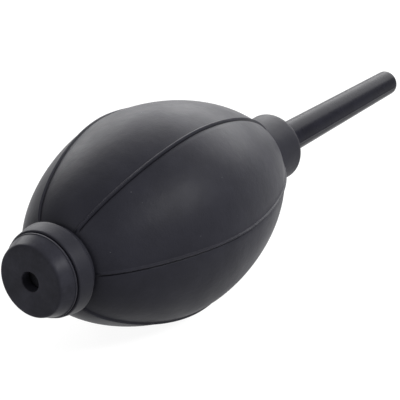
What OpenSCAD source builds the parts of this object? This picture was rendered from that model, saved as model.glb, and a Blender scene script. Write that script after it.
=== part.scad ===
// Hand air blower: a ribbed rubber bulb with a one-way intake valve in its tail
// and a rigid blowing nozzle in its neck.
//
// The origin is the centre of the flat tail face. +X runs along the axis from the
// tail to the nozzle's tip, +Z is up, and the blower lies on its belly.

/* [Tail plug] */
// Radius of the flat tail face, to its edge
face_r = 9; // [8.6:0.1:10]
// Rounding of the tail face's edge
face_edge_r = 0.7; // [0.3:0.1:1.2]
// Length of the flared skirt, from the tail face to the flange
skirt_len = 3.7; // [3.4:0.1:5]
// Radius of the thin flange that rests on the rubber collar
flange_r = 10.6; // [10.3:0.1:10.9]
// Thickness of the flange
flange_t = 0.7; // [0.5:0.1:1.2]
// Radius of the spigot inside the rubber collar
spigot_r = 8; // [7.8:0.1:8.4]
// Height of the spigot's barb over the spigot
barb_rise = 0.6; // [0.3:0.1:0.8]
// Length of the spigot's barb
barb_len = 1.6; // [1:0.1:2.4]

/* [Intake valve] */
// Radius of the intake hole in the tail face
intake_r = 2.5; // [1.6:0.1:2.7]
// Thickness of the tail face's wall, between the outside and the valve chamber
face_wall = 2.6; // [2:0.1:3]
// Radius of the valve chamber inside the spigot
chamber_r = 6.6; // [6.3:0.1:6.8]
// Inner radius of the raised ring that the disc seals on
seat_r = 3; // [2.8:0.1:3.4]
// Width of the seat ring
seat_w = 0.8; // [0.5:0.1:1]
// Height of the seat ring over the chamber's floor
seat_rise = 0.5; // [0.3:0.1:0.8]
// Radius of the valve disc
disc_r = 4.8; // [4.5:0.1:4.9]
// Thickness of the valve disc
disc_t = 0.8; // [0.5:0.1:1.2]
// How far the disc lifts off its seat
disc_lift = 1.2; // [0.8:0.1:1.6]
// Wall of the cage's ring
cage_wall = 0.9; // [0.7:0.1:1]
// Length of the cage's ring
cage_ring_len = 3.6; // [2.6:0.1:4]
// Height of the snap bead that holds the cage's ring in the chamber
snap_rise = 0.2; // [0.1:0.05:0.3]
// Length of the snap bead
snap_len = 0.8; // [0.5:0.1:1.2]
// Width of the cage's spokes and guide fingers
spoke_w = 1.6; // [1:0.1:2.2]
// Thickness of the cage's spokes along the axis
spoke_t = 1.4; // [0.8:0.1:2]
// Number of spokes and guide fingers
spokes = 4; // [3:1:6]
// Radius of the cage's centre hub
hub_r = 1.8; // [1.2:0.1:2.4]

/* [Rubber bulb] */
// Largest radius, at the belly
belly_r = 27.5; // [24:0.5:32]
// Distance from the collar to the widest place
belly_dist = 37.5; // [33:0.5:42]
// Distance from the widest place to the root of the neck
nose_dist = 50; // [44:0.5:56]
// Thickness of the rubber wall
bulb_wall = 2.4; // [1.8:0.1:3]
// Radius of the collar at its end towards the bulb
collar_r = 11.75; // [11.5:0.05:12.6]
// Radius of the collar at its tail end, beside the flange
collar_tail_r = 11; // [10.9:0.1:11.5]
// Length of the tail collar
collar_len = 4.5; // [3:0.1:6]
// Rounding of the collar's edges
collar_edge_r = 0.4; // [0.2:0.1:0.8]
// Radius at the bottom of the groove between the collar and the bulb
groove_r = 10.4; // [10.2:0.1:10.8]
// Width of that groove
groove_w = 1.8; // [1:0.1:2.4]
// Radius of the neck
neck_r = 9.4; // [9.2:0.1:10.4]
// Length of the neck
neck_len = 10.8; // [9:0.1:14]
// Rounding of the neck's outer rim
neck_edge_r = 1.4; // [0.6:0.1:1.8]
// Thickness of the rubber lip that closes the neck round the nozzle
lip_t = 1.8; // [1.2:0.1:2.6]

/* [Ribs] */
// Number of ribs along the bulb
ribs = 6; // [4:1:8]
// Height of a rib over the bulb
rib_rise = 0.5; // [0.3:0.1:1]
// Width of a rib
rib_w = 0.9; // [0.6:0.1:1.6]
// Angle of the first rib about the axis, from +Y towards +Z
rib_roll = -2; // [-30:1:30]

/* [Neck bush] */
// Radius of the rigid bush inside the neck
bush_r = 7; // [6.6:0.1:7.2]
// Length of the bush
bush_len = 14; // [12:0.5:18]
// Height of the bush's barbs
bush_barb = 0.4; // [0.2:0.1:0.6]
// Radius of the air passage through the bush's inner end
bush_port_r = 3.2; // [2.6:0.1:3.6]
// Thickness of the bush's inner end, which stops the nozzle
bush_stop_t = 1.8; // [1.2:0.1:2.6]

/* [Nozzle] */
// Radius of the nozzle's root, inside the bush
root_r = 4.6; // [4.2:0.1:5]
// Length of nozzle that shows beyond the neck
nozzle_len = 70; // [40:0.5:90]
// Radius at the nozzle's tip
tip_r = 3.85; // [3.2:0.05:4.4]
// Rounding of the tip's edge
tip_edge_r = 0.8; // [0.4:0.1:1]
// Radius of the outlet hole
outlet_r = 1.75; // [1:0.05:2]
// Length of the straight outlet hole
outlet_len = 14; // [8:1:24]
// Radius of the nozzle's inside at its root
inlet_r = 3.2; // [2.6:0.1:3.4]

/* [Fits] */
// Radial clearance of the nozzle's root in the bush
nozzle_fit = 0.05; // [0.03:0.01:0.08]
// Clearance of rigid pieces in the rubber and in each other
snug = 0.05; // [0.03:0.01:0.1]
// Shadow gap between the flange and the rubber collar
flange_gap = 0.25; // [0.1:0.05:0.4]
// Clearance of the valve disc between the cage's fingers
disc_play = 0.2; // [0.1:0.05:0.3]
// Clearance of the nozzle through the rubber lip
lip_play = 0.15; // [0.1:0.05:0.4]

/* [Hidden] */

// Places along the axis, from the tail face
flange_x = skirt_len + flange_t;            // back of the flange
collar_x = flange_x + flange_gap;           // face of the rubber collar
collar_end_x = collar_x + collar_len;
shell_x = collar_end_x + groove_w;          // the squeeze body starts at the groove
belly_x = collar_end_x + belly_dist;
neck_x = belly_x + nose_dist;               // root of the neck
neck_end_x = neck_x + neck_len;
lip_x = neck_end_x - lip_t;                 // inside of the lip
bush_x = lip_x - bush_len;
root_x = bush_x + bush_stop_t;              // the nozzle's root seats here
tip_x = neck_end_x + nozzle_len;
seat_x = face_wall + seat_rise;             // the disc's closed place
cage_x = seat_x + disc_t + disc_lift;       // the spokes stop the disc here

// Radii that follow their neighbours
collar_bore_r = spigot_r + snug;
cage_r = chamber_r - snug;
finger_r = disc_r + disc_play;
neck_bore_r = bush_r + snug;
bush_bore_r = root_r + nozzle_fit;
lip_r = root_r + lip_play;
collar_slope = atan((collar_r - collar_tail_r) / (collar_len - 2 * collar_edge_r));

// Shape of the squeeze body's two curves: how steeply each end leaves, in degrees,
// and how far each handle reaches, as a share of that side's length
tail_angle = 65;
tail_reach = 0.27;
tail_belly_reach = 0.24;
nose_angle = 36;
nose_reach = 0.17;
nose_belly_reach = 0.56;
curve_steps = 16;
edge_steps = 6;
round_fn = 96;
overcut = 1;                                // how far a bore's cut runs past its mouth

function bezier(p, t) =
    pow(1 - t, 3) * p[0] + 3 * pow(1 - t, 2) * t * p[1] + 3 * (1 - t) * t * t * p[2] + pow(t, 3) * p[3];
function slope(p, t) =
    pow(1 - t, 2) * (p[1] - p[0]) + 2 * (1 - t) * t * (p[2] - p[1]) + t * t * (p[3] - p[2]);
function normal(v) = [-v[1], v[0]] / norm(v);

// The squeeze body's side, as [x, r], from the collar's groove to the belly and to the neck
tail_curve = [
    [shell_x, groove_r],
    [shell_x, groove_r] + tail_reach * (belly_x - shell_x) * [cos(tail_angle), sin(tail_angle)],
    [belly_x - tail_belly_reach * (belly_x - shell_x), belly_r],
    [belly_x, belly_r]
];
nose_curve = [
    [belly_x, belly_r],
    [belly_x + nose_belly_reach * nose_dist, belly_r],
    [neck_x, neck_r] + nose_reach * nose_dist * [-cos(nose_angle), sin(nose_angle)],
    [neck_x, neck_r]
];

// One curve's points, moved out along its normals by rise (or in, when rise is negative)
function curve_points(curve, rise, first = 0) =
    [for (i = [first : curve_steps]) let (t = i / curve_steps)
        bezier(curve, t) + rise * normal(slope(curve, t))];
function shell_points(rise) = concat(curve_points(tail_curve, rise), curve_points(nose_curve, rise, 1));

// A rounded corner's points, as [x, r], about its centre, from one angle to another
function corner(cx, cr, radius, from, to) =
    [for (i = [0 : edge_steps]) let (a = from + (to - from) * i / edge_steps)
        [cx + radius * cos(a), cr + radius * sin(a)]];

// Turns an outline of [x, r] points about the X axis
module turned(points) {
    rotate([0, 90, 0])
        rotate_extrude($fn = round_fn)
            polygon([for (p = points) [p[1], p[0]]]);
}

// A straight rod or tube along X
module rod(r, x0, x1) {
    translate([x0, 0, 0]) rotate([0, 90, 0]) cylinder(r = r, h = x1 - x0, $fn = round_fn);
}

// The bulb's inside, which follows the outside at one wall's distance
function cavity_points() =
    let (inside = shell_points(-bulb_wall),
         open = [for (p = inside) if (p[1] > collar_bore_r && p[0] < belly_x) p],
         shut = [for (p = inside) if (p[1] > neck_bore_r && p[0] >= belly_x) p])
    concat(
        [[open[0][0], 0], [open[0][0], collar_bore_r]],
        open,
        shut,
        [[shut[len(shut) - 1][0], neck_bore_r], [shut[len(shut) - 1][0], 0]]
    );
cavity = cavity_points();
cavity_x = cavity[0][0];
barb_x = cavity_x + snug;                  // the spigot's barb hooks behind the rubber wall
spigot_end_x = barb_x + barb_len;
bush_barb_len = bush_len / 6;              // two barbs and the spaces round them share the bush
snap_x = cage_x + (cage_ring_len - snap_len) / 2;

// A thin rib along the bulb, that rises from the shell near the collar and sinks at the neck
module rib(angle) {
    outer = shell_points(rib_rise);
    inner = shell_points(-bulb_wall / 2);
    last = len(outer) - 1;
    rotate([angle, 0, 0])
        linear_extrude(rib_w, center = true)
            polygon(concat(
                [for (i = [1 : last - 1]) outer[i]],
                [for (i = [last : -1 : 0]) inner[i]]
            ));
}

module bulb() {
    color([0.17, 0.17, 0.19])
    difference() {
        union() {
            turned(concat(
                [[collar_x, 0]],
                corner(collar_x + collar_edge_r, collar_tail_r - collar_edge_r,
                    collar_edge_r, 180, 90 + collar_slope),
                corner(collar_end_x - collar_edge_r, collar_r - collar_edge_r,
                    collar_edge_r, 90 + collar_slope, 0),
                [[collar_end_x, groove_r]],
                shell_points(0),
                corner(neck_end_x - neck_edge_r, neck_r - neck_edge_r, neck_edge_r, 90, 0),
                [[neck_end_x, 0]]
            ));
            for (i = [0 : ribs - 1]) rib(rib_roll + i * 360 / ribs);
        }
        rod(collar_bore_r, collar_x - overcut, cavity_x + overcut);
        turned(cavity);
        rod(neck_bore_r, cavity[len(cavity) - 1][0] - overcut, lip_x);
        bush_barbs(snug);
        rod(lip_r, lip_x - overcut, neck_end_x + overcut);
    }
}

module valve_body() {
    color([0.15, 0.15, 0.16])
    turned(concat(
        [[0, intake_r]],
        corner(face_edge_r, face_r - face_edge_r, face_edge_r, 180, 100),
        [[skirt_len, flange_r - flange_t / 3]],
        corner(skirt_len + flange_t / 2, flange_r - flange_t / 2, flange_t / 2, 120, 30),
        [
            [flange_x, flange_r - flange_t / 2],
            [flange_x, spigot_r],
            [barb_x, spigot_r],
            [barb_x, spigot_r + barb_rise],
            [spigot_end_x, spigot_r - snug],
            [spigot_end_x, chamber_r],
            [snap_x + snap_len + snug, chamber_r],
            [snap_x + snap_len + snug, chamber_r + snap_rise],
            [snap_x - snug, chamber_r + snap_rise],
            [snap_x - snug, chamber_r],
            [face_wall, chamber_r],
            [face_wall, seat_r + seat_w],
            [seat_x, seat_r + seat_w],
            [seat_x, seat_r],
            [face_wall, seat_r],
            [face_wall, intake_r]
        ]
    ));
}

module valve_disc() {
    color([0.13, 0.13, 0.14])
    rod(disc_r, seat_x, seat_x + disc_t);
}

module valve_cage() {
    ring_end_x = cage_x + cage_ring_len;
    color([0.2, 0.2, 0.22])
    union() {
        difference() {
            union() {
                rod(cage_r, cage_x, ring_end_x);
                rod(cage_r + snap_rise, snap_x, snap_x + snap_len);
            }
            rod(cage_r - cage_wall, cage_x - overcut, ring_end_x + overcut);
        }
        rod(hub_r, cage_x, cage_x + spoke_t);
        intersection() {
            rod(cage_r, face_wall, ring_end_x);
            for (i = [0 : spokes - 1]) rotate([i * 360 / spokes, 0, 0]) {
                translate([cage_x, 0, -spoke_w / 2]) cube([spoke_t, cage_r, spoke_w]);
                translate([face_wall + snug, finger_r, -spoke_w / 2])
                    cube([cage_x - face_wall, cage_r - finger_r, spoke_w]);
            }
        }
    }
}

// The two barbs round the bush, grown by the clearance for the groove in the rubber
module bush_barbs(play = 0) {
    for (i = [1, 3]) let (x0 = bush_x + i * bush_barb_len)
        turned([
            [x0 - play, 0],
            [x0 - play, bush_r + play],
            [x0 + bush_barb_len - play, bush_r + bush_barb + play],
            [x0 + bush_barb_len + play, bush_r + bush_barb + play],
            [x0 + bush_barb_len + play, 0]
        ]);
}

module neck_bush() {
    color([0.2, 0.2, 0.21])
    difference() {
        union() {
            rod(bush_r, bush_x, lip_x - snug);
            bush_barbs();
        }
        rod(bush_port_r, bush_x - overcut, lip_x + overcut);
        rod(bush_bore_r, root_x, lip_x + overcut);
    }
}

module nozzle() {
    color([0.12, 0.12, 0.13])
    turned(concat(
        [[root_x + snug, inlet_r], [root_x + snug, root_r], [neck_end_x, root_r]],
        corner(tip_x - tip_edge_r, tip_r - tip_edge_r, tip_edge_r, 90, 0),
        [[tip_x, outlet_r], [tip_x - outlet_len, outlet_r]]
    ));
}

bulb();
valve_body();
valve_disc();
valve_cage();
neck_bush();
nozzle();
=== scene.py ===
"""Looks of the hand air blower: a ribbed rubber bulb, its tail plug and its nozzle.

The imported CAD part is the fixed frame. The bulb, the plug and the nozzle are turned again here with
their fine edges, ribs and seams. The valve's disc and cage and the neck bush keep their CAD meshes.
Lengths in the outlines are millimetres and angles are degrees, unless said otherwise.
"""
import math

import bpy
import numpy as np
from mathutils import Matrix, Vector


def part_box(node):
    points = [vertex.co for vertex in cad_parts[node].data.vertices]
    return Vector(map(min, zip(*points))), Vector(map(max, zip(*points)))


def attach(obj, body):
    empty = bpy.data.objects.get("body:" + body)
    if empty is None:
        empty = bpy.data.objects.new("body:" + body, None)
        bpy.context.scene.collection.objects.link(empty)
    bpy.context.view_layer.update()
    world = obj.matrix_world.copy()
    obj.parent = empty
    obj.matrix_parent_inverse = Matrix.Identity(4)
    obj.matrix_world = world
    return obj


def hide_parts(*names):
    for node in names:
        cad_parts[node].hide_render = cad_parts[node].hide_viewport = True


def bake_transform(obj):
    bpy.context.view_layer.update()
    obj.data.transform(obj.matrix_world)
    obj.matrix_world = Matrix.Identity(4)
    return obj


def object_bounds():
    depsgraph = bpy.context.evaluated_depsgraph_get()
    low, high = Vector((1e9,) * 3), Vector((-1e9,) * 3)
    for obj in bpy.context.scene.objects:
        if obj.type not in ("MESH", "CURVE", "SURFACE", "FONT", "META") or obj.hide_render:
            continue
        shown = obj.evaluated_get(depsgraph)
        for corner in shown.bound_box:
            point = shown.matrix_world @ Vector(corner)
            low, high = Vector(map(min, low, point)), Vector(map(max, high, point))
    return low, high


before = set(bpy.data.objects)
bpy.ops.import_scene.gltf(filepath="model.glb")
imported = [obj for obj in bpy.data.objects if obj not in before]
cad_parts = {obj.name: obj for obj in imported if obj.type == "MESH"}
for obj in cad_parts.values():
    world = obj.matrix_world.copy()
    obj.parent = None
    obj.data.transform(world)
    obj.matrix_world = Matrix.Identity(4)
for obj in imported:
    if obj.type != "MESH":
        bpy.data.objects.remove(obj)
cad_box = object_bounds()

MM = 0.001
bulb_lo, bulb_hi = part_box("bulb")
plug_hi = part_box("valve_body")[1]
nozzle_lo, nozzle_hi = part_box("nozzle")


# ---------------------------------------------------------------- outlines

ARC_STEP = 12       # about how many degrees lie between two points of a rounded corner
ARC_STEPS = 3       # fewest steps in a rounded corner
EDGE_SHARE = 0.49   # most of an edge that one rounded corner may take


def corner_arc(before, here, after, rounding):
    """Points of the arc that rounds a corner between the points before and after it."""
    back, ahead = before - here, after - here
    back_len, ahead_len = np.linalg.norm(back), np.linalg.norm(ahead)
    back, ahead = back / back_len, ahead / ahead_len
    half = math.acos(np.clip(back @ ahead, -1, 1)) / 2
    cut = min(rounding / math.tan(half), EDGE_SHARE * back_len, EDGE_SHARE * ahead_len)
    radius = cut * math.tan(half)
    middle = back + ahead
    centre = here + middle / np.linalg.norm(middle) * radius / math.sin(half)
    first, last = here + back * cut - centre, here + ahead * cut - centre
    sweep = math.pi - 2 * half
    side = np.sign(first[0] * last[1] - first[1] * last[0])
    steps = max(ARC_STEPS, round(math.degrees(sweep) / ARC_STEP))
    arc = []
    for k in range(steps + 1):
        a = side * sweep * k / steps
        arc.append(centre + [first[0] * math.cos(a) - first[1] * math.sin(a),
                             first[0] * math.sin(a) + first[1] * math.cos(a)])
    return arc


def rounded(corners):
    """Points [x, r] along a closed outline, from corners (x, r, rounding). A corner with a rounding
    becomes an arc of that radius, and a corner without one stays sharp."""
    places = [np.array([x, r], float) for x, r, rounding in corners]
    points = []
    for i, here in enumerate(places):
        rounding = corners[i][2]
        if rounding:
            points += corner_arc(places[i - 1], here, places[(i + 1) % len(places)], rounding)
        else:
            points.append(here)
    return np.array(points)


def spaced(points, longest):
    """The closed outline with extra points, so that no step is longer than that."""
    out = []
    for i, p in enumerate(points):
        q = points[(i + 1) % len(points)]
        steps = max(1, math.ceil(np.linalg.norm(q - p) / longest))
        out += [p + (q - p) * k / steps for k in range(steps)]
    return np.array(out)


def outward(points):
    """The unit normal at each point of a closed outline that runs from the tail along the outside."""
    step = np.roll(points, -1, 0) - np.roll(points, 1, 0)
    normal = np.stack([-step[:, 1], step[:, 0]], 1)
    return normal / np.maximum(np.linalg.norm(normal, axis=1), 1e-9)[:, None]


def bezier(p0, p1, p2, p3, steps):
    """Points along a cubic Bezier curve."""
    t = np.linspace(0, 1, steps + 1)[:, None]
    p0, p1, p2, p3 = (np.array(p, float) for p in (p0, p1, p2, p3))
    return (1 - t) ** 3 * p0 + 3 * (1 - t) ** 2 * t * p1 + 3 * (1 - t) * t ** 2 * p2 + t ** 3 * p3


def leaving(start, degrees, reach):
    """A Bezier handle that leaves a point at an angle to the axis."""
    a = math.radians(degrees)
    return [start[0] + reach * math.cos(a), start[1] + reach * math.sin(a)]


# ---------------------------------------------------------------- turned meshes

CREASE_AT, CREASE_HALF = 1.05, 0.5      # in half widths of the ridge, from its crest
SHARP_EDGE = 40         # edges with a larger angle stay sharp
SLIM = 3                # a ridge narrows where the radius is under this many of its half widths


def bead(t):
    """Height of a rounded ridge, from 0 at t = -1 to 1 on its crest at t = 0."""
    return 0.5 + 0.5 * np.cos(np.pi * np.clip(t, -1, 1))


def creased_bead(t, depth):
    """The same ridge, with a crease of that share of its height along one foot."""
    return bead(t) - depth * bead((t - CREASE_AT) / CREASE_HALF)


def turned(name, points, ridges, ridge_half, ridge_rise, fade, plain, fine, crease=0):
    """A closed mesh turned about the X axis from a closed outline in millimetres.

    It carries raised ridges along it, at the angles in ridges; fade gives their height per row, from
    0 to 1. There are plain columns between two ridges, and fine ones across each ridge. A crease is
    a share of the ridge's height, cut along its foot on the side of the larger angle. The vertex
    attribute "relief" runs from -1 at the crease's bottom to 1 on the crest."""
    gap = 2 * math.pi / len(ridges)
    reach = CREASE_AT + CREASE_HALF if crease else 1
    columns, heights = [], []
    for a in np.radians(ridges):
        half = ridge_half / np.maximum(points[:, 1], ridge_half * SLIM)
        for t in np.linspace(-reach, reach, fine):
            columns.append(a + t * half)
            heights.append(np.full(len(points), float(creased_bead(t, crease))))
        for k in range(1, plain + 1):
            columns.append(a + reach * half + (gap - 2 * reach * half) * k / (plain + 1))
            heights.append(np.zeros(len(points)))
    angle, height = np.array(columns).T, np.array(heights).T * fade[:, None]
    normal = outward(points)
    x = points[:, :1] + normal[:, :1] * height * ridge_rise
    r = points[:, 1:] + normal[:, 1:] * height * ridge_rise
    place = np.stack([x + 0 * angle, r * np.cos(angle), r * np.sin(angle)], 2) * MM

    index = np.arange(angle.size).reshape(angle.shape)
    below, beside = np.roll(index, -1, 0), np.roll(index, -1, 1)
    faces = np.stack([index, beside, np.roll(below, -1, 1), below], 2)
    mesh = bpy.data.meshes.new(name)
    mesh.from_pydata(place.reshape(-1, 3).tolist(), [], faces.reshape(-1, 4).tolist())
    mesh.shade_smooth()
    mesh.set_sharp_from_angle(angle=math.radians(SHARP_EDGE))
    relief = mesh.attributes.new("relief", "FLOAT", "POINT")
    share = np.where(height < 0, height / crease, height) if crease else height
    relief.data.foreach_set("value", share.reshape(-1).astype(np.float32))
    piece = bpy.data.objects.new(name, mesh)
    bpy.context.scene.collection.objects.link(piece)
    return piece


# ---------------------------------------------------------------- the rubber bulb

BELLY_R = 27.5
BELLY_DIST, NOSE_DIST = 40.2, 47.3      # from the belly to the collar and to the neck
COLLAR_R, COLLAR_TAIL_R, COLLAR_LEN, COLLAR_ROUND = 11.75, 11, 4.5, 0.4
GROOVE_R, GROOVE_W, GROOVE_ROUND = 10.4, 1.8, 0.8
NECK_R, NECK_LEN, NECK_ROUND = 9.4, 10.8, 1.4
WALL = 2.4
SPIGOT_BORE_R, SPIGOT_BORE_ROUND, BUSH_BORE_R = 8.05, 0.3, 7.05
LIP_R, LIP_T, LIP_ROUND, LIP_BACK_ROUND = 4.75, 1.8, 0.4, 0.2
# The angles to the axis at which the shell leaves the groove and the neck, and how far its Bezier
# handles reach from there and from the belly, as shares of BELLY_DIST and NOSE_DIST.
TAIL_ANGLE, TAIL_REACH, TAIL_BELLY_REACH, TAIL_ROWS = 72, 0.15, 0.428, 60
NOSE_ANGLE, NOSE_REACH, NOSE_BELLY_REACH, NOSE_ROWS = 39.6, 0.554, 0.127, 76
INSIDE_EVERY = 4        # the inside keeps one point in this many of the outside's
BORE_MARGIN = 0.1       # the shell's inside ends this far above the bores
ROW_STEP = 0.8          # longest step between two rows of the mesh

RIBS, RIB_ROLL = 6, -2
RIB_HALF, RIB_RISE = 0.52, 0.48
RIB_CREASE = 0.5        # depth of the crease at the rib's foot, as a share of its rise
RIB_FADE = 0.9          # length over which a rib rises from the shell at each end
RIB_GAP_COLUMNS, RIB_COLUMNS = 20, 25


def shell_side(shell, belly, neck):
    """The outside of the shell, from the groove over the belly to the neck's root."""
    tail_side = bezier(shell, leaving(shell, TAIL_ANGLE, TAIL_REACH * BELLY_DIST),
                       [belly[0] - TAIL_BELLY_REACH * BELLY_DIST, BELLY_R], belly, TAIL_ROWS)
    nose_side = bezier(belly, [belly[0] + NOSE_BELLY_REACH * NOSE_DIST, BELLY_R],
                       leaving(neck, 180 - NOSE_ANGLE, NOSE_REACH * NOSE_DIST), neck, NOSE_ROWS)
    return np.vstack([tail_side, nose_side[1:]])


def shell_inside(side, belly):
    """The inside of the shell, from the neck's bore back to the collar's."""
    slope = np.gradient(side, axis=0)
    inward = np.stack([slope[:, 1], -slope[:, 0]], 1)
    inside = side + WALL * inward / np.linalg.norm(inward, axis=1)[:, None]
    inside = [p for p in inside[::-1]
              if p[1] > (SPIGOT_BORE_R if p[0] < belly[0] else BUSH_BORE_R) + BORE_MARGIN]
    return [[inside[0][0], BUSH_BORE_R], *inside[::INSIDE_EVERY], [inside[-1][0], SPIGOT_BORE_R]]


def bulb_outline():
    """The bulb's closed outline, and each point's share of the rib's height."""
    collar_x, neck_end = bulb_lo.x / MM, bulb_hi.x / MM
    collar_end = collar_x + COLLAR_LEN
    shell = [collar_end + GROOVE_W, GROOVE_R]
    belly = [collar_end + BELLY_DIST, BELLY_R]
    neck = [neck_end - NECK_LEN, NECK_R]
    side = shell_side(shell, belly, neck)
    collar = rounded([
        (collar_x, SPIGOT_BORE_R, SPIGOT_BORE_ROUND), (collar_x, COLLAR_TAIL_R, COLLAR_ROUND),
        (collar_end, COLLAR_R, COLLAR_ROUND), (collar_end, GROOVE_R, GROOVE_ROUND),
        (*shell, 0), (*belly, 0)])[:-2]
    nose = rounded([
        (*belly, 0), (neck_end, NECK_R, NECK_ROUND), (neck_end, LIP_R, LIP_ROUND),
        (neck_end - LIP_T, LIP_R, LIP_BACK_ROUND), (neck_end - LIP_T, BUSH_BORE_R, 0)])[1:]
    outline = spaced(np.vstack([collar, side, nose, shell_inside(side, belly)]), ROW_STEP)
    x, r = outline.T
    outer = (x > shell[0]) & (x < neck[0]) & (r > np.interp(x, side[:, 0], side[:, 1]) - WALL / 2)
    rise = np.minimum(x - shell[0], neck[0] - x) / RIB_FADE
    fade = np.where(outer, np.clip(rise, 0, 1), 0.0)
    return outline, fade * fade * (3 - 2 * fade)


def make_bulb(material):
    """The rubber moulding, turned with its ribs. It takes the place of the CAD bulb."""
    outline, fade = bulb_outline()
    ribs = [RIB_ROLL + i * 360 / RIBS for i in range(RIBS)]
    bulb = turned("bulb_skin", outline, ribs, RIB_HALF, RIB_RISE, fade,
                  plain=RIB_GAP_COLUMNS, fine=RIB_COLUMNS, crease=RIB_CREASE)
    bulb.data.materials.append(material)
    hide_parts("bulb")
    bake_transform(bulb)


# ---------------------------------------------------------------- the tail plug

FACE_R, FACE_ROUND, FACE_WALL = 9, 0.7, 2.6
INTAKE_R, INTAKE_ROUND, INTAKE_BACK_ROUND = 2.5, 0.25, 0.1
SKIRT_LEN = 3.7
FLANGE_R, FLANGE_T, FLANGE_ROUND, FLANGE_BACK_ROUND = 10.6, 0.7, 0.15, 0.25
FLANGE_PROUD = FLANGE_T / 3             # how far the flange stands out from the skirt
FLANGE_STEP = 0.1       # length over which it steps out
SPIGOT_R, SPIGOT_ROUND = 8, 0.2
SPIGOT_TAPER = 0.05     # how much slimmer the spigot's end is
BARB_RISE, BARB_LEN, BARB_ROUND = 0.6, 1.6, 0.1
CHAMBER_R, CHAMBER_ROUND = 6.6, 0.2
SEAT_R, SEAT_W, SEAT_RISE, SEAT_ROUND = 3, 0.8, 0.5, 0.15
PLUG_ROW_STEP, PLUG_COLUMNS = 0.6, 90
FLAT_HALF, FLAT_COLUMNS = 0.3, 3        # the plug has no ridges: two narrow strips stay flat


def make_plug(material):
    """The plug's moulding: flared skirt, thin flange, barbed spigot and the valve's seat."""
    end = plug_hi.x / MM
    barb = end - BARB_LEN
    flange_end = SKIRT_LEN + FLANGE_T
    seat_x, seat_outer = FACE_WALL + SEAT_RISE, SEAT_R + SEAT_W
    outline = spaced(rounded([
        (0, INTAKE_R, INTAKE_ROUND), (0, FACE_R, FACE_ROUND),
        (SKIRT_LEN, FLANGE_R - FLANGE_PROUD, FLANGE_ROUND),
        (SKIRT_LEN + FLANGE_STEP, FLANGE_R, FLANGE_ROUND),
        (flange_end, FLANGE_R, FLANGE_BACK_ROUND), (flange_end, SPIGOT_R, SPIGOT_ROUND),
        (barb, SPIGOT_R, 0), (barb, SPIGOT_R + BARB_RISE, BARB_ROUND),
        (end, SPIGOT_R - SPIGOT_TAPER, SPIGOT_ROUND), (end, CHAMBER_R, CHAMBER_ROUND),
        (FACE_WALL, CHAMBER_R, CHAMBER_ROUND), (FACE_WALL, seat_outer, 0),
        (seat_x, seat_outer, SEAT_ROUND), (seat_x, SEAT_R, SEAT_ROUND),
        (FACE_WALL, SEAT_R, 0), (FACE_WALL, INTAKE_R, INTAKE_BACK_ROUND)]), PLUG_ROW_STEP)
    flat = np.zeros(len(outline))
    plug = turned("plug_skin", outline, [0, 180], FLAT_HALF, 0, flat,
                  plain=PLUG_COLUMNS, fine=FLAT_COLUMNS)
    plug.data.materials.append(material)
    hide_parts("valve_body")
    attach(plug, "tail_plug")


# ---------------------------------------------------------------- the nozzle

ROOT_R, ROOT_ROUND, TIP_R, TIP_ROUND = 4.6, 0.2, 3.85, 1.5
INLET_R, INLET_ROUND, OUTLET_R, OUTLET_ROUND, OUTLET_LEN = 3.2, 0.15, 1.75, 0.3, 14
SEAM_ANGLE, SEAM_HALF, SEAM_RISE = 8, 0.3, 0.1
SEAM_FADE = 1.0         # length over which a seam rises at each end
NOZZLE_ROW_STEP, NOZZLE_COLUMNS, SEAM_COLUMNS = 1.0, 46, 7


def make_nozzle(material):
    """The nozzle, with the fine seam that the two halves of its mould leave on either side."""
    root, tip = nozzle_lo.x / MM, nozzle_hi.x / MM
    neck = bulb_hi.x / MM
    outline = spaced(rounded([
        (root, INLET_R, INLET_ROUND), (root, ROOT_R, ROOT_ROUND), (neck, ROOT_R, 0),
        (tip, TIP_R, TIP_ROUND), (tip, OUTLET_R, OUTLET_ROUND),
        (tip - OUTLET_LEN, OUTLET_R, 0)]), NOZZLE_ROW_STEP)
    x, r = outline.T
    outside = r > (INLET_R + TIP_R) / 2
    rise = np.minimum(x - neck, tip - TIP_ROUND - x) / SEAM_FADE
    fade = np.where(outside, np.clip(rise, 0, 1), 0.0)
    nozzle = turned("nozzle_skin", outline, [SEAM_ANGLE, SEAM_ANGLE + 180], SEAM_HALF, SEAM_RISE,
                    fade, plain=NOZZLE_COLUMNS, fine=SEAM_COLUMNS)
    nozzle.data.materials.append(material)
    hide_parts("nozzle")
    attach(nozzle, "nozzle_body")


# ---------------------------------------------------------------- shader nodes

def new_material(name, colour, roughness, specular):
    """A new material, its node tree and its shader."""
    material = bpy.data.materials.new(name)
    material.use_nodes = True
    tree = material.node_tree
    shader = tree.nodes["Principled BSDF"]
    shader.inputs["Base Color"].default_value = (*colour, 1)
    shader.inputs["Roughness"].default_value = roughness
    shader.inputs["Specular IOR Level"].default_value = specular
    return material, tree, shader


def texture(tree, kind, scale):
    """A texture node that is laid out in the piece's own coordinates."""
    place = tree.nodes.new("ShaderNodeTexCoord")
    node = tree.nodes.new(kind)
    node.inputs["Scale"].default_value = scale
    tree.links.new(place.outputs["Object"], node.inputs["Vector"])
    return node


def noise(tree, scale, detail, rough=0.55):
    """Cloudy noise. A larger scale makes it finer, and more detail adds smaller clouds."""
    node = texture(tree, "ShaderNodeTexNoise", scale)
    node.inputs["Detail"].default_value = detail
    node.inputs["Roughness"].default_value = rough
    return node.outputs["Fac"]


def mapped(tree, value, low, high, from_low=0.3, from_high=0.7):
    """The value taken from one range to another. Noise lies mostly between 0.3 and 0.7."""
    node = tree.nodes.new("ShaderNodeMapRange")
    node.inputs["From Min"].default_value = from_low
    node.inputs["From Max"].default_value = from_high
    node.inputs["To Min"].default_value = low
    node.inputs["To Max"].default_value = high
    tree.links.new(value, node.inputs["Value"])
    return node.outputs["Result"]


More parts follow.
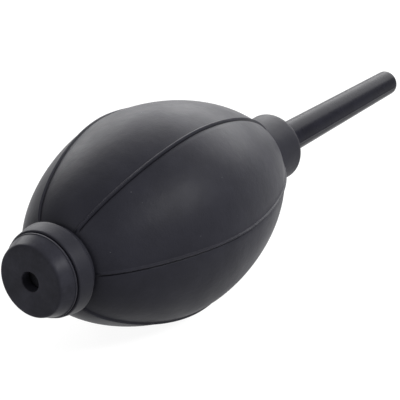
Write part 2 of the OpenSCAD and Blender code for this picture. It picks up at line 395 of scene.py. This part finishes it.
def combined(tree, operation, first, second):
    """Two values through one math operation."""
    node = tree.nodes.new("ShaderNodeMath")
    node.operation = operation
    tree.links.new(first, node.inputs[0])
    tree.links.new(second, node.inputs[1])
    return node.outputs[0]


def mixed(tree, factor, first, second):
    """A colour between two, each a colour or a socket."""
    node = tree.nodes.new("ShaderNodeMix")
    node.data_type = "RGBA"
    for name, colour in (("A", first), ("B", second)):
        socket = [s for s in node.inputs if s.name == name and s.type == "RGBA"][0]
        if isinstance(colour, tuple):
            socket.default_value = (*colour, 1)
        else:
            tree.links.new(colour, socket)
    tree.links.new(factor, node.inputs["Factor"])
    return [s for s in node.outputs if s.type == "RGBA"][0]


def bumped(tree, shader, layers):
    """Bumps laid one over the other, from (noise scale, noise detail, height in metres)."""
    last = None
    for scale, detail, distance in layers:
        bump = tree.nodes.new("ShaderNodeBump")
        bump.inputs["Distance"].default_value = distance
        tree.links.new(noise(tree, scale, detail), bump.inputs["Height"])
        if last:
            tree.links.new(last, bump.inputs["Normal"])
        last = bump.outputs["Normal"]
    tree.links.new(last, shader.inputs["Normal"])


def specks(tree, scale, size):
    """Sparse round specks: 1 in a speck and 0 elsewhere."""
    cells = texture(tree, "ShaderNodeTexVoronoi", scale)
    return mapped(tree, cells.outputs["Distance"], 1, 0, size / 2, size)


# ---------------------------------------------------------------- materials

RUBBER_DARK, RUBBER_PALE = (0.0150, 0.0150, 0.0204), (0.0235, 0.0235, 0.0314)
# Painted shade: a near-black colour laid into the crease along one foot of each rib.
RUBBER_PAINTED_SHADE = (0.005, 0.005, 0.007)
PAINTED_SHADE_EDGE = -0.1      # relief at which the painted shade in the crease begins
RUBBER_ROUGH, RUBBER_ROUGH_RANGE, RUBBER_SPECULAR = 0.5, (0.39, 0.51), 0.085
RUBBER_CLOUDS = (70, 6, 0.65)           # noise scale, detail and roughness
RUBBER_ROUGH_CLOUDS = (90, 4)
RUBBER_BUMPS = ((2600, 2, 0.00002), (700, 3, 0.00003), (190, 3, 0.00009))
DUST = (0.09, 0.09, 0.10)
DUST_SPECKS = ((320, 0.05, 70), (700, 0.045, 110))      # scale, size, scale of the dusty patches
PATCH_DETAIL = 2                        # noise detail of the patches
PATCH_EDGE = (0.5, 0.56)                # noise level at which a patch begins and is full


def rubber():
    """Matt black rubber: clouded, with patches of dust specks, and painted shade in the ribs'
    creases.
    """
    material, tree, shader = new_material("bulb_rubber", RUBBER_DARK, RUBBER_ROUGH, RUBBER_SPECULAR)
    cloud = mapped(tree, noise(tree, *RUBBER_CLOUDS), 0, 1)
    colour = mixed(tree, cloud, RUBBER_DARK, RUBBER_PALE)
    for scale, size, patch_scale in DUST_SPECKS:
        patches = mapped(tree, noise(tree, patch_scale, PATCH_DETAIL), 0, 1, *PATCH_EDGE)
        dust = combined(tree, "MULTIPLY", specks(tree, scale, size), patches)
        colour = mixed(tree, dust, colour, DUST)
    relief = tree.nodes.new("ShaderNodeAttribute")
    relief.attribute_name = "relief"
    # Painted shade: the colour darkens from the crease's edge down to its bottom.
    painted_crease_shade = mapped(tree, relief.outputs["Fac"], 1, 0, -1, PAINTED_SHADE_EDGE)
    tree.links.new(mixed(tree, painted_crease_shade, colour, RUBBER_PAINTED_SHADE), shader.inputs["Base Color"])
    rough = mapped(tree, noise(tree, *RUBBER_ROUGH_CLOUDS), *RUBBER_ROUGH_RANGE)
    tree.links.new(rough, shader.inputs["Roughness"])
    bumped(tree, shader, RUBBER_BUMPS)
    return material


# The colour, roughness, specular level and height of the grain in metres of each plastic, and of
# the disc's rubber sheet.
PLASTICS = {
    "plug_plastic": ((0.0215, 0.0215, 0.028), 0.32, 0.058, 0.00001),
    "nozzle_plastic": ((0.0065, 0.0065, 0.0105), 0.27, 0.038, 0.000003),
    "inner_plastic": ((0.02, 0.02, 0.021), 0.4, 0.45, 0.00001),
    "disc_rubber": ((0.010, 0.010, 0.0125), 0.45, 0.25, 0.00001)}
PLASTIC_CLOUDS = (160, 6, 0.7)          # noise scale, detail and roughness
PLASTIC_ROUGH_CLOUDS = (140, 4)
PLASTIC_GRAIN = ((3000, 2, 1), (420, 3, 3))     # noise scale, detail, height in grains
CLOUD_RANGE = (0.35, 0.65)              # noise level at which a cloud begins and is full
PALER = 1.6                             # how much lighter the clouds are
ROUGH_LOW, ROUGH_HIGH = 0.9, 1.12       # the roughness varies between these shares


def plastic(name, colour, roughness, specular, grain):
    """Moulded plastic, or the disc's rubber sheet: lightly clouded, with a fine grain."""
    material, tree, shader = new_material(name, colour, roughness, specular)
    cloud = mapped(tree, noise(tree, *PLASTIC_CLOUDS), 0, 1, *CLOUD_RANGE)
    shade = mixed(tree, cloud, colour, tuple(c * PALER for c in colour))
    tree.links.new(shade, shader.inputs["Base Color"])
    clouds = noise(tree, *PLASTIC_ROUGH_CLOUDS)
    rough = mapped(tree, clouds, roughness * ROUGH_LOW, roughness * ROUGH_HIGH)
    tree.links.new(rough, shader.inputs["Roughness"])
    bumped(tree, shader, [(scale, detail, grain * times) for scale, detail, times in PLASTIC_GRAIN])
    return material


# ---------------------------------------------------------------- world and floor

FLOOR_SIZE = 3.0        # metres
AMBIENT = 0.14          # strength of the world that lights the object
WHITE = 1.0             # strength of the world that is seen
FLOOR_GREY, FLOOR_ROUGH, FLOOR_SPECULAR = (0.45, 0.45, 0.45), 0.9, 0.5     # as it lights the object
PAPER_GLOW, PAPER_GREY = 0.93, (0.15, 0.15, 0.15)       # the floor as seen: its glow and its shadows


def show_white(tree, lit, white):
    """Mixes two shaders: rays from the camera, mirror and glass see the white one."""
    path = tree.nodes.new("ShaderNodeLightPath")
    seen = path.outputs["Is Camera Ray"]
    for name in ("Is Glossy Ray", "Is Transmission Ray"):
        seen = combined(tree, "MAXIMUM", seen, path.outputs[name])
    mix = tree.nodes.new("ShaderNodeMixShader")
    tree.links.new(seen, mix.inputs["Fac"])
    tree.links.new(lit, mix.inputs[1])
    tree.links.new(white, mix.inputs[2])
    return mix.outputs["Shader"]


def make_world():
    """A dim world that lights the object and looks white."""
    world = bpy.data.worlds.new("studio")
    bpy.context.scene.world = world
    world.use_nodes = True
    tree = world.node_tree
    lit, white = tree.nodes["Background"], tree.nodes.new("ShaderNodeBackground")
    for background, strength in ((lit, AMBIENT), (white, WHITE)):
        background.inputs["Color"].default_value = (1, 1, 1, 1)
        background.inputs["Strength"].default_value = strength
    surface = tree.nodes["World Output"].inputs["Surface"]
    tree.links.new(show_white(tree, lit.outputs[0], white.outputs[0]), surface)


def make_floor():
    """A pale floor under the belly. It looks white and keeps the object's shadow."""
    half = FLOOR_SIZE / 2
    z = cad_box[0][2]
    mesh = bpy.data.meshes.new("floor")
    mesh.from_pydata([(-half, -half, z), (half, -half, z), (half, half, z), (-half, half, z)],
                     [], [(0, 1, 2, 3)])
    floor = bpy.data.objects.new("floor", mesh)
    bpy.context.scene.collection.objects.link(floor)
    material, tree, shader = new_material("floor_paper", FLOOR_GREY, FLOOR_ROUGH, FLOOR_SPECULAR)
    glow = tree.nodes.new("ShaderNodeEmission")
    glow.inputs["Strength"].default_value = PAPER_GLOW
    paper = tree.nodes.new("ShaderNodeBsdfDiffuse")
    paper.inputs["Color"].default_value = (*PAPER_GREY, 1)
    both = tree.nodes.new("ShaderNodeAddShader")
    tree.links.new(glow.outputs[0], both.inputs[0])
    tree.links.new(paper.outputs[0], both.inputs[1])
    surface = tree.nodes["Material Output"].inputs["Surface"]
    tree.links.new(show_white(tree, shader.outputs[0], both.outputs[0]), surface)
    floor.data.materials.append(material)


# ---------------------------------------------------------------- camera and lights

VIEW_AZIMUTH, VIEW_ELEVATION, VIEW_ROLL = -55.61, 22.16, 0.89
AIM = Vector((79.9, 6.75, -8.6)) * MM
DISTANCE = 414.4 * MM
LENS, SENSOR = 135, 36
LIGHT_DISTANCE = 1.0    # metres
# Name, azimuth from the camera towards its right, elevation, width and height in metres, watts.
SOFTBOXES = (("back", 172, 33, 1.8, 0.8, 21.5), ("side", 66, 35, 0.24, 0.24, 7.6),
             ("fill", -45, 28, 0.9, 0.7, 2.4), ("top", 180, 80, 0.9, 0.9, 0.6))


def view_axes():
    """Unit vectors to the right, back towards the camera and up, for the main view."""
    a, e = math.radians(VIEW_AZIMUTH), math.radians(VIEW_ELEVATION)
    back = Vector((math.sin(a) * math.cos(e), -math.cos(a) * math.cos(e), math.sin(e)))
    level = Vector((math.cos(a), math.sin(a), 0))
    upright = back.cross(level)
    roll = math.radians(VIEW_ROLL)
    right = level * math.cos(roll) - upright * math.sin(roll)
    return right, back, back.cross(right)


def make_camera():
    """The main view: through a long lens, from above and from the tail's side."""
    camera = bpy.data.objects.new("camera", bpy.data.cameras.new("camera"))
    bpy.context.scene.collection.objects.link(camera)
    camera.data.lens = LENS
    camera.data.sensor_width = SENSOR
    right, back, up = view_axes()
    camera.location = AIM + back * DISTANCE
    camera.rotation_euler = Matrix((right, up, back)).transposed().to_euler()
    bpy.context.scene.camera = camera


def softbox(name, place, aim, width, tall, watts):
    """A rectangular area light at a place, turned to face the aim."""
    light = bpy.data.lights.new(name, "AREA")
    light.shape = "RECTANGLE"
    light.size, light.size_y = width, tall
    light.energy = watts
    box = bpy.data.objects.new(name, light)
    bpy.context.scene.collection.objects.link(box)
    box.location = place
    box.rotation_euler = (aim - place).to_track_quat("-Z", "Y").to_euler()


def make_lights():
    """The softboxes, all at one distance from the middle of the bulb and facing it."""
    back = view_axes()[1]
    front = Vector((back.x, back.y, 0)).normalized()
    up = Vector((0, 0, 1))
    right = up.cross(front)
    centre = Vector(((bulb_lo.x + bulb_hi.x) / 2, 0, 0))
    for name, azimuth, elevation, width, tall, watts in SOFTBOXES:
        a, e = math.radians(azimuth), math.radians(elevation)
        level = front * math.cos(a) + right * math.sin(a)
        place = centre + LIGHT_DISTANCE * (level * math.cos(e) + up * math.sin(e))
        softbox(name, place, centre, width, tall, watts)


# ---------------------------------------------------------------- the scene

bpy.context.scene.view_settings.view_transform = "Standard"
make_camera()
make_world()
make_floor()
make_lights()

make_bulb(rubber())
plastics = {name: plastic(name, *look) for name, look in PLASTICS.items()}
make_plug(plastics["plug_plastic"])
make_nozzle(plastics["nozzle_plastic"])
for node, look in (("valve_cage", "inner_plastic"), ("neck_bush", "inner_plastic"),
                   ("valve_disc", "disc_rubber")):
    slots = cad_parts[node].data.materials
    slots.clear()
    slots.append(plastics[look])

bpy.context.view_layer.update()
